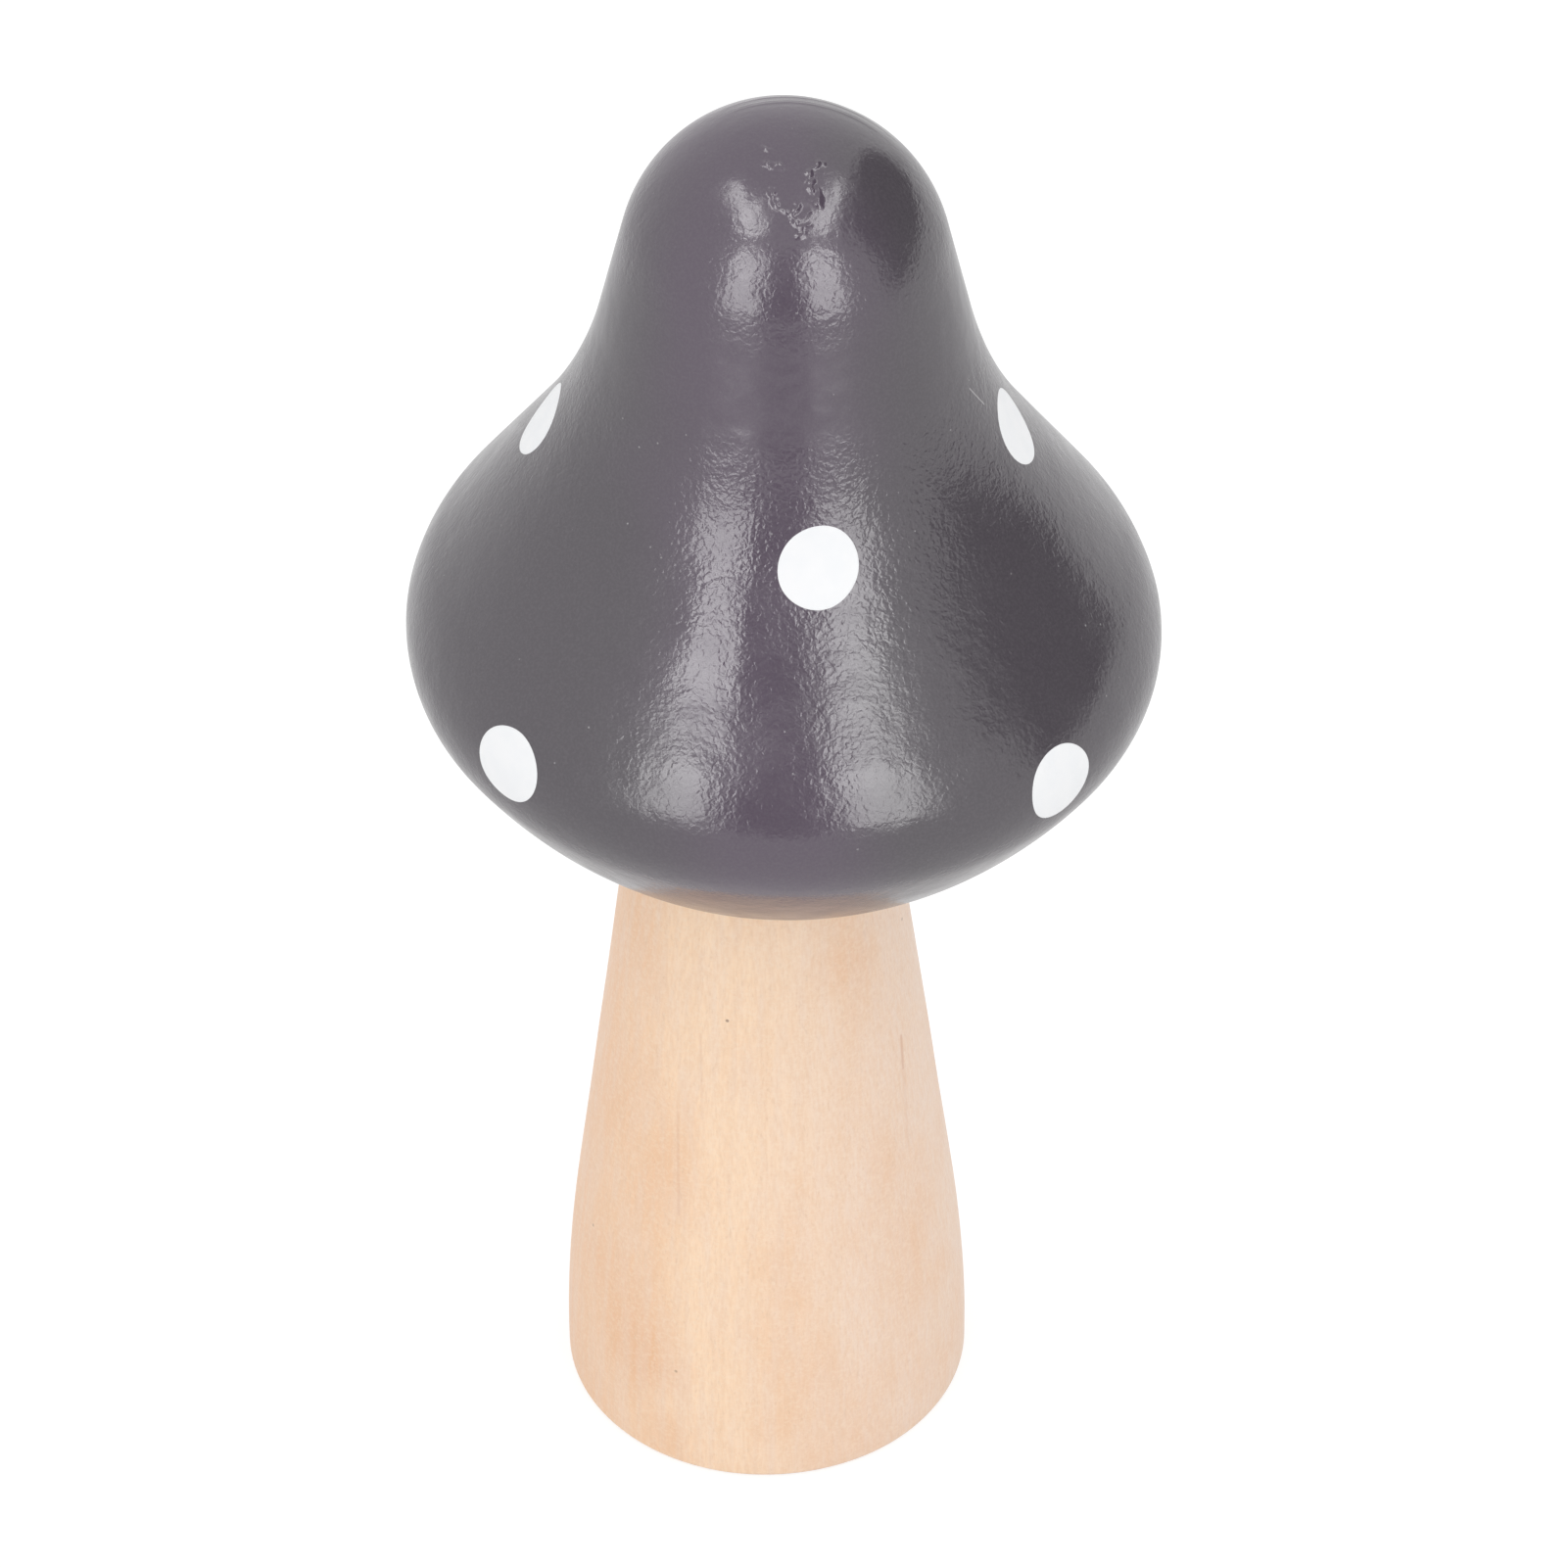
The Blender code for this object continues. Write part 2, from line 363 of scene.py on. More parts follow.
def humps(flat):
    """The height of the low humps over each point of the unrolled surface."""
    height = 0.0
    for turn, distance, radius, rise in HUMPS:
        away = np.linalg.norm(flat - unrolled(turn, distance), axis=-1)
        height = height + rise * MM * np.exp(-(away / (radius * MM)) ** 2)
    return height


# %% [markdown]
# The reflections tell one more thing about the shape. On the front, where the neck runs out into the
# skirt, the bright bands fade away, so the surface there must be steeper than the outline says. It was
# sanded hollow, by less than a millimetre, and the hollow fills again lower down the skirt.

# %% The hollow at the front of the neck's foot
HOLLOW_DEPTH = 0.70 * MM
HOLLOW_START = 25.5 * MM
HOLLOW_DEEPEST = (36.5 * MM, 38.5 * MM)
HOLLOW_END = 60.5 * MM
HOLLOW_TURNS = (math.radians(35), math.radians(75))


def hollow(turns, distances):
    going_in = smooth_step(distances, HOLLOW_START, HOLLOW_DEEPEST[0])
    coming_out = smooth_step(distances, HOLLOW_END, HOLLOW_DEEPEST[1])
    at_front = smooth_step(np.abs(turns), *reversed(HOLLOW_TURNS))
    return -HOLLOW_DEPTH * np.outer(going_in * coming_out, at_front)


# %% [markdown]
# ## The cap
#
# The outside follows the runs, with rings closer together on the crown, where the wrinkles need them.
# Below, the outline turns in across the flat seat and up the blind hole for the dowel, so the piece
# stays a closed solid that could be taken off its stem.

# %% Turn the cap
CAP_SIDES = 360
CROWN_REACH = 11.5 * MM
CROWN_STEP = 0.10 * MM
BODY_STEP = 0.50 * MM
DOWEL_RADIUS = 4 * MM
DOWEL_DEPTH_IN_CAP = 15 * MM
HOLE_END_ROOM = 1 * MM


def cap_distances():
    crown = np.arange(0, CROWN_REACH, CROWN_STEP)
    body = np.arange(CROWN_REACH, CAP_LENGTH, BODY_STEP)
    return np.append(np.concatenate([crown, body]), CAP_LENGTH)


def cap_outside():
    """The painted surface as a grid of points in the cap's own frame, with its seat at height 0."""
    distances = cap_distances()
    x, z, slope = np.array([follow(CAP_RUNS, distance) for distance in distances]).T
    grid = ring_points(x, z + CAP_HEIGHT, CAP_SIDES)
    outward = ring_points(np.sin(slope), np.cos(slope), CAP_SIDES)
    turns = np.linspace(0, 2 * np.pi, CAP_SIDES, endpoint=False)
    turns[turns > np.pi] -= 2 * np.pi
    flat = lay_flat(turns, distances, x)
    on_top = distances < CROWN_REACH
    relief = sanding_waves(grid) + humps(flat) + hollow(turns, distances)
    relief[on_top] += wrinkles(flat[on_top]) + turning_marks(grid[on_top])
    relief[0] = relief[0].mean()
    relief[-1] = 0
    grid += relief[..., None] * outward
    grid[..., 0] -= CROWN_DRIFT * grid[..., 2]
    return grid


def add_cap():
    hole_radius = DOWEL_RADIUS + GLUE_GAP
    hole_end = DOWEL_DEPTH_IN_CAP + HOLE_END_ROOM
    hole = ring_points([hole_radius, hole_radius, 0], [0, hole_end, hole_end], CAP_SIDES)
    cap = add_turned("painted_cap", np.concatenate([cap_outside(), hole]))
    cap.data.transform(SEAT)
    return cap


cap = add_cap()
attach(cap, "root")
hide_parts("cap")
print("The cap has", len(cap.data.polygons), "faces")

# %% [markdown]
# ## The stem
#
# The stem was turned over-long, then sawn off square to the cap's own axis, so its top is as crooked as
# the cap is. The same order works here: turn it, slice it with a plane, fill the slice, and bore the
# dowel's hole with a Boolean. The slice lies just under the seat, so that cap and stem meet in a fine,
# closed line.

# %% Turn, saw and bore the stem
STEM_SIDES = 288
FOOT_RADIUS = 17.45 * MM
FOOT_EDGE_RADIUS = 0.6 * MM
BARREL_RADIUS = 140 * MM
TAPER = math.radians(7.5)
DOWEL_DEPTH_IN_STEM = 15 * MM
SEAM = 0.03 * MM
STEM_STEP = 1.5 * MM
EDGE_STEPS = 8
HOLE_SIDES = 96


def stem_runs():
    over_long = STEM_HEIGHT + 2 * FOOT_RADIUS * math.tan(CAP_LEAN)
    taper_height = over_long - FOOT_EDGE_RADIUS - BARREL_RADIUS * math.sin(TAPER)
    runs = [
        straight(taper_height / math.cos(TAPER), UPRIGHT - TAPER),
        bend(BARREL_RADIUS, UPRIGHT - TAPER, UPRIGHT),
        bend(FOOT_EDGE_RADIUS, UPRIGHT, 2 * UPRIGHT),
    ]
    return runs, over_long


def turned_stem():
    runs, over_long = stem_runs()
    edge = runs[-1][0]
    side_length = length_of(runs) - edge
    down_side = np.linspace(0, side_length, math.ceil(side_length / STEM_STEP))
    round_edge = side_length + np.linspace(0, edge, EDGE_STEPS + 1)[1:]
    points = [follow(runs, distance) for distance in [*down_side, *round_edge]]
    x, z, slope = np.array(points).T
    x += FOOT_RADIUS - x.max()
    grid = ring_points(x, z + over_long, STEM_SIDES)
    outward = ring_points(np.sin(slope), np.zeros(len(slope)), STEM_SIDES)
    grid += sanding_waves(grid)[..., None] * outward
    top = ring_points([0], [over_long], STEM_SIDES)
    bottom = ring_points([0], [0], STEM_SIDES)
    return add_turned("bare_stem", np.concatenate([top, grid, bottom]))


def saw_off(piece, point, upwards):
    """Cuts away what lies above a plane and closes the cut."""
    shape = bmesh.new()
    shape.from_mesh(piece.data)
    everything = shape.verts[:] + shape.edges[:] + shape.faces[:]
    plane = {"plane_co": point, "plane_no": upwards}
    cut = bmesh.ops.bisect_plane(shape, geom=everything, clear_outer=True, **plane)
    edges = [part for part in cut["geom_cut"] if isinstance(part, bmesh.types.BMEdge)]
    bmesh.ops.edgeloop_fill(shape, edges=edges)
    shape.to_mesh(piece.data)
    shape.free()


def bore(piece, place, radius, depth):
    """Drills a blind hole with a Boolean and keeps only the result."""
    shape = bmesh.new()
    size = {"radius1": radius, "radius2": radius, "depth": 2 * depth}
    bmesh.ops.create_cone(shape, cap_ends=True, segments=HOLE_SIDES, matrix=place, **size)
    mesh = bpy.data.meshes.new("drill")
    shape.to_mesh(mesh)
    shape.free()
    drill = bpy.data.objects.new("drill", mesh)
    scene.collection.objects.link(drill)
    cut = piece.modifiers.new("bore", "BOOLEAN")
    cut.solver = "EXACT"
    cut.object = drill
    graph = bpy.context.evaluated_depsgraph_get()
    bored = bpy.data.meshes.new_from_object(piece.evaluated_get(graph))
    piece.modifiers.clear()
    piece.data = bored
    bpy.data.objects.remove(drill)


def add_stem():
    stem = turned_stem()
    saw_off(stem, SEAT @ Vector((0, 0, -SEAM)), SEAT.to_3x3() @ Vector((0, 0, 1)))
    bore(stem, SEAT, DOWEL_RADIUS + GLUE_GAP, DOWEL_DEPTH_IN_STEM + HOLE_END_ROOM)
    stem.data.shade_smooth()
    stem.data.set_sharp_from_angle(angle=CREASE)
    return stem


stem = add_stem()
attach(stem, "root")
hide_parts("stem")
print("The stem has", len(stem.data.polygons), "faces")

# %% [markdown]
# ## The spots
#
# Each spot is a film of white paint, pressed on with a round pad, a few hundredths of a millimetre
# thick and never quite a circle. A flat disc would poke through the curved cap, so each point of the
# film is dropped onto the cap along the spot's own line of sight. The film's edge is rounded, and its
# back lies just under the surface, which leaves a thin closed solid and no gap.

# %% Lay a film of paint on the cap
FILM_THICKNESS = 0.045 * MM
FILM_SINK = 0.02 * MM
FILM_EDGE = 0.12 * MM
SPOT_SIDES = 96
SPOT_RINGS = 14
EDGE_RINGS = 6
RAY_START = 3 * MM
SPOT_CORNERS = (3, 5)
SPOT_ERROR = 0.004
SPOT_SEED = 4

# For each spot: its turn from the front towards +X, its rise up the surface from the cap's widest line in
# mm, its radius in mm, the share by which it is oval, and where its long axis points, in degrees from
# straight down the slope
SPOTS = {
    "spot_upper_front": (7.9, 22.6, 3.14, 0.036, 148),
    "spot_upper_right": (84.5, 24.1, 3.16, 0.015, 60),
    "spot_upper_back": (175.0, 22.8, 3.13, 0.020, 25),
    "spot_upper_left": (-94.1, 21.8, 3.16, 0.015, 110),
    "spot_lower_right": (45.1, 0.9, 3.12, 0.020, 80),
    "spot_lower_left": (-45.7, 1.8, 3.10, 0.024, 95),
    "spot_lower_back_right": (135.0, 1.3, 3.15, 0.018, 70),
    "spot_lower_back_left": (-135.0, 1.4, 3.12, 0.022, 130),
}


def spot_frame(turn, rise):
    """The place of a spot, with its Z axis standing straight out of the cap and X down the slope."""
    x, z, slope = follow(CAP_RUNS, WIDEST_LINE - rise)
    around = Matrix.Rotation(turn - UPRIGHT, 4, "Z")
    place = (DRIFT @ around @ Matrix.Translation((x, 0, z + CAP_HEIGHT))).to_translation()
    return SEAT @ Matrix.Translation(place) @ around @ Matrix.Rotation(slope, 4, "Y")


def spot_outline(radius, oval, long_axis, chance):
    """A radius for each side: an oval with a little three-cornered and five-cornered error."""
    turns = np.linspace(0, 2 * np.pi, SPOT_SIDES, endpoint=False)
    stretch = oval * np.cos(2 * (turns - math.radians(long_axis)))
    shifts = [chance.uniform(0, 2 * np.pi) for corners in SPOT_CORNERS]
    uneven = sum(np.cos(corners * turns - shift) for corners, shift in zip(SPOT_CORNERS, shifts))
    return turns, radius * MM * (1 + stretch + SPOT_ERROR * uneven)


def film_height(inset):
    """How thick the paint stands at a distance in from the film's edge."""
    share = min(inset / FILM_EDGE, 1.0)
    return FILM_THICKNESS * math.sqrt(1 - (1 - share) ** 2)


def film_insets(radius):
    """How far in from the edge each ring lies: even steps, then finer ones where the edge rounds off."""
    even = [radius * (1 - ring / SPOT_RINGS) for ring in range(1, SPOT_RINGS)]
    rounding = [FILM_EDGE * (1 - math.sin(step * UPRIGHT / EDGE_RINGS)) for step in range(EDGE_RINGS + 1)]
    return even + rounding


def add_spot(name, turn, rise, outline, surface):
    place = spot_frame(math.radians(turn), rise * MM)
    turns, radii = outline
    outwards = place.to_3x3() @ Vector((0, 0, 1))

    def over_cap(side, inset, height):
        """The point of the film at a distance in from its edge and a height above the cap."""
        reach = max(radii[side] - inset, 0.0)
        start = Vector((reach * math.cos(turns[side]), reach * math.sin(turns[side]), RAY_START))
        hit, normal = surface.ray_cast(place @ start, -outwards)[:2]
        return hit + height * normal

    mean = radii.mean()
    insets = film_insets(mean)
    points = [over_cap(0, radii[0], FILM_THICKNESS)]
    for inset in insets:
        height = film_height(inset)
        points += [over_cap(side, inset * radii[side] / mean, height) for side in range(SPOT_SIDES)]
    points += [over_cap(side, FILM_EDGE, -FILM_SINK) for side in range(SPOT_SIDES)]
    points.append(over_cap(0, radii[0], -FILM_SINK))
    return add_piece(name, points, ring_faces(len(insets) + 1, SPOT_SIDES))


def surface_of(piece):
    """A piece's faces, ready for rays to be cast at them."""
    corners = [vertex.co for vertex in piece.data.vertices]
    return BVHTree.FromPolygons(corners, [face.vertices for face in piece.data.polygons])


cap_surface = surface_of(cap)
chance = random.Random(SPOT_SEED)
spots = []
for name, (turn, rise, radius, oval, long_axis) in SPOTS.items():
    outline = spot_outline(radius, oval, long_axis, chance)
    spot = add_spot("painted_" + name, turn, rise, outline, cap_surface)
    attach(spot, "root")
    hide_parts(name)
    spots.append(spot)
print("Laid", len(spots), "spots of", len(spots[0].data.polygons), "faces each")

# %% [markdown]
# ## Mixing finishes
#
# A finish is a chain of small steps: a pattern, a stretch, a blend. This helper keeps each step to one
# line. Every pattern uses the Object coordinates, which are metres here, so a noise of size `0.3 * MM`
# makes grains of that real size, and the wood's figure runs right through the solid, out at the foot
# too.

# %% A bench for mixing finishes
SPECK_CORE = 0.4


def grey(level):
    return (level, level, level, 1.0)


class Finish:
    """A material in the making. Each method adds one step and gives back its result."""

    def __init__(self, name):
        self.material = bpy.data.materials.new(name)
        self.material.use_nodes = True
        self.tree = self.material.node_tree
        self.shader = self.tree.nodes["Principled BSDF"]
        self.place = self.step("ShaderNodeTexCoord", {}).outputs["Object"]

    def step(self, kind, sockets, **settings):
        node = self.tree.nodes.new(kind)
        for name, value in settings.items():
            setattr(node, name, value)
        for name, value in sockets.items():
            self.plug(value, node.inputs[name])
        return node

    def plug(self, value, socket):
        if isinstance(value, bpy.types.NodeSocket):
            self.tree.links.new(value, socket)
        else:
            socket.default_value = value

    def math(self, operation, first, second=0.0):
        return self.step("ShaderNodeMath", {0: first, 1: second}, operation=operation).outputs[0]

    def part(self, axis):
        """One part of the place: X, Y or Z."""
        return self.step("ShaderNodeSeparateXYZ", {"Vector": self.place}).outputs[axis]

    def vector(self, operation, first, second):
        return self.step("ShaderNodeVectorMath", {0: first, 1: second}, operation=operation).outputs[0]

    def squeezed(self, share):
        """The place with its height squeezed, which draws a pattern out along Z."""
        return self.vector("MULTIPLY", self.place, (1.0, 1.0, share))

    def grain(self, place, size, detail=2.0, warp=0.0):
        sockets = {"Vector": place, "Scale": 1 / size, "Detail": detail, "Distortion": warp}
        return self.step("ShaderNodeTexNoise", sockets).outputs["Fac"]

    def specks(self, place, spacing, radius):
        """1 in small round specks that lie about one spacing apart, 0 elsewhere."""
        sockets = {"Vector": place, "Scale": 1 / spacing}
        near = self.step("ShaderNodeTexVoronoi", sockets).outputs["Distance"]
        return self.fade(near, radius / spacing, SPECK_CORE * radius / spacing)

    def away_from_line(self, start, end):
        """The distance from a straight line between two places."""
        along = end - start
        offset = self.vector("SUBTRACT", self.place, start)
        sockets = {0: offset, 1: along / along.length_squared}
        dot = self.step("ShaderNodeVectorMath", sockets, operation="DOT_PRODUCT").outputs["Value"]
        share = self.step("ShaderNodeClamp", {"Value": dot}).outputs[0]
        sockets = {0: along, "Scale": share}
        nearest = self.step("ShaderNodeVectorMath", sockets, operation="SCALE").outputs[0]
        return self.away_from(nearest, offset)

    def away_from(self, spot, place=None):
        sockets = {0: self.place if place is None else place, 1: spot}
        return self.step("ShaderNodeVectorMath", sockets, operation="DISTANCE").outputs["Value"]

    def fade(self, value, start, end, low=0.0, high=1.0):
        """Turns a value into a smooth step from low, at start, to high, at end."""
        sockets = {"Value": value, "From Min": start, "From Max": end, "To Min": low, "To Max": high}
        return self.step("ShaderNodeMapRange", sockets, interpolation_type="SMOOTHSTEP").outputs[0]

    def through(self, value, knots):
        """An amount between 0 and 1 that runs through knots, each a value and the amount there."""
        low, high = knots[0][0], knots[-1][0]
        sockets = {"Value": value, "From Min": low, "From Max": high}
        share = self.step("ShaderNodeMapRange", sockets).outputs[0]
        ramp = self.step("ShaderNodeValToRGB", {"Fac": share})
        for place, amount in knots[1:-1]:
            ramp.color_ramp.elements.new((place - low) / (high - low))
        for stop, knot in zip(ramp.color_ramp.elements, knots):
            stop.color = grey(knot[1])
        return ramp.outputs["Color"]

    def blend(self, amount, first, second):
        sockets = {0: amount, 6: self.opaque(first), 7: self.opaque(second)}
        return self.step("ShaderNodeMix", sockets, data_type="RGBA").outputs[2]

    def opaque(self, colour):
        return colour if isinstance(colour, bpy.types.NodeSocket) else (*colour, 1.0)

    def bump(self, height, depth, under=None):
        """Raises the surface by up to depth, over any earlier bump."""
        sockets = {"Height": height, "Distance": depth, "Strength": 1.0}
        if under is not None:
            sockets["Normal"] = under
        return self.step("ShaderNodeBump", sockets).outputs["Normal"]

    def set(self, **sockets):
        for name, value in sockets.items():
            self.plug(value, self.shader.inputs[name.replace("_", " ")])


def dress(material, *pieces):
    for piece in pieces:
        piece.data.materials.clear()
        piece.data.materials.append(material)
    print(material.name, "goes on", ", ".join(piece.name for piece in pieces))


# %% [markdown]
# ## Dark satin paint
#
# The cap was dipped or brushed once and never rubbed down. Its paint is glossy close up, but it set
# with a wavy skin like leather, in ripples about half a millimetre wide. They are far too shallow to
# see by themselves, yet they break each reflection into short glints. So the gloss comes from a smooth
# surface, and the soft look comes from bumps: a broad unevenness, the ripples, and a finer tooth. The
# ripples are deepest where the neck turns into the skirt, because the paint gathered there, and nearly
# gone on the steep neck, where it ran off. The colour drifts from violet, at the front and the back, to
# a more neutral slate on the flanks. Grains of dust dried into the paint, and a few hairline scratches
# show.

# %% Hairline scratches on the cap
SCRATCHES = [
    [(-27.0, 45.4), (-26.4, 46.0), (-26.3, 46.6), (-26.9, 47.3)],
    [(-27.5, 47.9), (-27.7, 48.2)],
    [(-28.3, 48.6), (-28.8, 48.9)],
    [(68.0, 27.6), (73.0, 29.9)],
]
SCRATCH_EDGE = (0.09 * MM, 0.03 * MM)


def on_cap(turn, distance):
    """The place on the cap at a turn in degrees and a distance from the tip in mm."""
    x, z = follow(CAP_RUNS, distance * MM)[:2]
    around = Matrix.Rotation(math.radians(turn) - UPRIGHT, 4, "Z")
    return SEAT @ DRIFT @ around @ Vector((x, 0, z + CAP_HEIGHT))


def scratches(paint):
    """1 along each scratch, 0 elsewhere."""
    lines = 0.0
    for knots in SCRATCHES:
        places = [on_cap(*knot) for knot in knots]
        for start, end in zip(places, places[1:]):
            line = paint.fade(paint.away_from_line(start, end), *SCRATCH_EDGE)
            lines = paint.math("MAXIMUM", lines, line)
    return lines


# %% Cap paint
VIOLET_GREY = (0.089, 0.067, 0.095)
SLATE_GREY = (0.071, 0.062, 0.073)
PALE_GREY = (0.130, 0.116, 0.132)
DUST_GREY = (0.34, 0.33, 0.34)
FLANKS = (8 * MM, 19 * MM)
DRIFT_SIZE = 14 * MM
DRIFT_REACH = 12 * MM
MOTTLE_SIZE = 0.22 * MM
DUST_SPACING = 1.9 * MM
DUST_RADIUS = 0.11 * MM
DUST_DEPTH = 0.030 * MM
SWELL_SIZE = 1.9 * MM
SWELL_DEPTH = 0.050 * MM
RIPPLE_SIZE = 0.40 * MM
RIPPLE_DEPTH = 0.056 * MM
TOOTH_SIZE = 0.13 * MM
TOOTH_DEPTH = 0.002 * MM

# How strong the ripples are at each height
RIPPLE_STRENGTH = [
    (66 * MM, 0.06), (74 * MM, 0.40), (80 * MM, 0.56), (92 * MM, 0.50), (98 * MM, 0.95), (106 * MM, 1.00),
    (109 * MM, 0.08), (114 * MM, 0.06), (117 * MM, 0.80), (121 * MM, 0.70), (124 * MM, 0.32),
]


def paint_colour(paint, marks):
    """Violet near the middle, slate on the flanks, a fine mottle, and pale where a mark is."""
    drift = paint.math("MULTIPLY", paint.grain(paint.place, DRIFT_SIZE, detail=1.0), DRIFT_REACH)
    sideways = paint.math("ADD", paint.math("ABSOLUTE", paint.part("X")), drift)
    colour = paint.blend(paint.fade(sideways, *FLANKS), VIOLET_GREY, SLATE_GREY)
    mottle = paint.grain(paint.place, MOTTLE_SIZE, detail=1.0)
    colour = paint.blend(paint.fade(mottle, 0.35, 0.75, 0.0, 0.20), colour, PALE_GREY)
    return paint.blend(marks, colour, DUST_GREY)


def paint_dust(paint):
    """1 in each grain of dust, 0 elsewhere. The grains keep to a few dusty regions."""
    dusty = paint.fade(paint.grain(paint.place, 11 * MM, detail=0.0), 0.36, 0.56)
    return paint.math("MULTIPLY", paint.specks(paint.place, DUST_SPACING, DUST_RADIUS), dusty)


def paint_skin(paint, dust):
    """The bumps: a broad swell, the ripples, a fine tooth and the grains of dust."""
    swell = paint.grain(paint.place, SWELL_SIZE, detail=1.0)
    ripples = paint.grain(paint.place, RIPPLE_SIZE, detail=1.0, warp=0.5)
    ripples = paint.math("MULTIPLY", ripples, paint.through(paint.part("Z"), RIPPLE_STRENGTH))
    tooth = paint.grain(paint.place, TOOTH_SIZE, detail=1.0)
    normal = paint.bump(swell, SWELL_DEPTH)
    normal = paint.bump(ripples, RIPPLE_DEPTH, normal)
    normal = paint.bump(tooth, TOOTH_DEPTH, normal)
    return paint.bump(dust, DUST_DEPTH, normal)


def cap_paint():
    paint = Finish("cap_paint")
    dust = paint_dust(paint)
    pale_dust = paint.math("MULTIPLY", dust, 0.6)
    pale_scratches = paint.math("MULTIPLY", scratches(paint), 0.8)
    colour = paint_colour(paint, paint.math("MAXIMUM", pale_dust, pale_scratches))
    wear = paint.grain(paint.place, 3.1 * MM, detail=3.0)
    paint.set(Base_Color=colour, Roughness=paint.fade(wear, 0.3, 0.7, 0.17, 0.23))
    paint.set(IOR=1.65, Normal=paint_skin(paint, dust))
    return paint.material


dress(cap_paint(), cap)

# %% [markdown]
# ## White spot paint
#
# The white lies thick and even, like clean paper with the faintest clouds. The fine line round each spot
# needs no colour of its own: the film's rounded edge is real geometry, catches the light differently and
# draws it. A painted ring could fake the line, but it would look alike from every side.

# %% Spot paint
SPOT_WHITE = (0.845, 0.850, 0.860)
SPOT_SHADE = (0.825, 0.835, 0.850)
SPOT_CLOUD_SIZE = 1.8 * MM
SPOT_RIPPLE_SIZE = 0.9 * MM
SPOT_RIPPLE_DEPTH = 0.008 * MM


def spot_paint():
    paint = Finish("spot_paint")
    cloud = paint.grain(paint.place, SPOT_CLOUD_SIZE)
    colour = paint.blend(paint.fade(cloud, 0.3, 0.7), SPOT_WHITE, SPOT_SHADE)
    normal = paint.bump(paint.grain(paint.place, SPOT_RIPPLE_SIZE, detail=1.0), SPOT_RIPPLE_DEPTH)
    paint.set(Base_Color=colour, Roughness=paint.fade(cloud, 0.3, 0.7, 0.38, 0.46), Normal=normal)
    paint.set(Specular_IOR_Level=0.12)
    return paint.material


dress(spot_paint(), *spots)

# %% [markdown]
# ## Pale bare wood
#
# The stem was cut from a larger board, so the heart of the tree lies outside it, on the left. Growth
# rings are measured from that line, warped a little, and each ends in a thin, warmer band. The wood is
# warmer on the heart's side and paler on the far side. Over that come warm cloudy patches, fibres and
# long fine streaks along the stem, small paler curls that are both lighter grain and a painted silky
# sheen, short open pores, thin veins and a few dark specks. One patch, just under the cap on the right,
# is painted shade from the cap. Contrast stays low: the real wood reads as one smooth, pale peach tone
# from a step away. A clear seal lies over everything, and it turns the stem's edges paler and cooler,
# as any varnish does where the eye meets it at a shallow angle.

# %% Small marks on the stem
# A speck is a turn, a height in mm and how strong it is. A vein runs from one place to another, with its
# width in mm and its strength. A patch is a turn, a height, a radius in mm and its strength.
SPECKS = [(-13.6, 48.1, 0.8), (-65.9, 19.8, 0.6), (-26.9, 10.8, 0.5), (73.6, 51.4, 0.6)]
VEINS = [
    ((59.2, 41.5), (57.8, 38.4), 0.30, 0.52),
    ((58.0, 37.9), (54.9, 30.6), 0.40, 0.13),
    ((-24.0, 46.2), (-21.8, 37.9), 0.20, 0.15),
    ((-31.2, 37.7), (-28.5, 27.5), 0.24, 0.22),
]
WARM_PATCHES_AND_SHADE = [
    # The first patch, just under the cap on the right, is painted shade from the cap. The rest are warm
    # tones of the wood.
    (35.0, 51.5, 4.6, 0.60),
    (-40.0, 11.0, 7.0, 0.90),
    (-52.0, 17.0, 6.0, 0.50),
    (-30.0, 3.0, 5.0, 0.50),
    (-34.0, 30.0, 7.0, 0.35),
    (62.0, 15.0, 4.0, 0.35),
]
SPECK_EDGE = (0.20 * MM, 0.08 * MM)
VEIN_CORE = 0.05 * MM
PATCH_BLUR = 3 * MM


def on_stem(turn, height):
    """The place on the stem at a turn from the front in degrees and a height in mm."""
    runs, over_long = stem_runs()
    reach = FOOT_RADIUS + follow(runs, over_long - height * MM)[0] - follow(runs, length_of(runs[:-1]))[0]
    turn = math.radians(turn)
    return Vector((reach * math.sin(turn), -reach * math.cos(turn), height * MM))


# %% Bare wood
WOOD_PALE = (0.912, 0.672, 0.466)
WOOD_WARM = (0.790, 0.460, 0.258)
WOOD_LIGHT = (0.805, 0.622, 0.508)
WOOD_LINE = (0.780, 0.515, 0.325)
# The curls' pale tone is lighter grain and a painted silky sheen in one.
FLECK_PALE_AND_SHEEN = (0.900, 0.730, 0.580)
PORE_BROWN = (0.52, 0.32, 0.20)
SPECK_BROWN = (0.25, 0.15, 0.10)
VEIN_BROWN = (0.62, 0.34, 0.21)
HEART = (-60 * MM, 8 * MM, 0.0)
HEART_SIDE = (60 * MM, 44 * MM)
FAR_SIDE = (60 * MM, 74 * MM)
RING_WIDTH = 3.4 * MM
RING_WAVE = 16 * MM
CLOUD_SIZE = 7 * MM


def growth_rings(wood, from_heart):
    """1 in the dense wood that ends each year's ring, 0 in the wood before it."""
    bent = wood.grain(wood.squeezed(0.22), RING_WAVE)
    count = wood.math("ADD", wood.math("DIVIDE", from_heart, RING_WIDTH), wood.math("MULTIPLY", bent, 2.2))
    year = wood.math("FRACT", count)
    return wood.math("MULTIPLY", wood.fade(year, 0.45, 0.93), wood.fade(year, 1.0, 0.94))


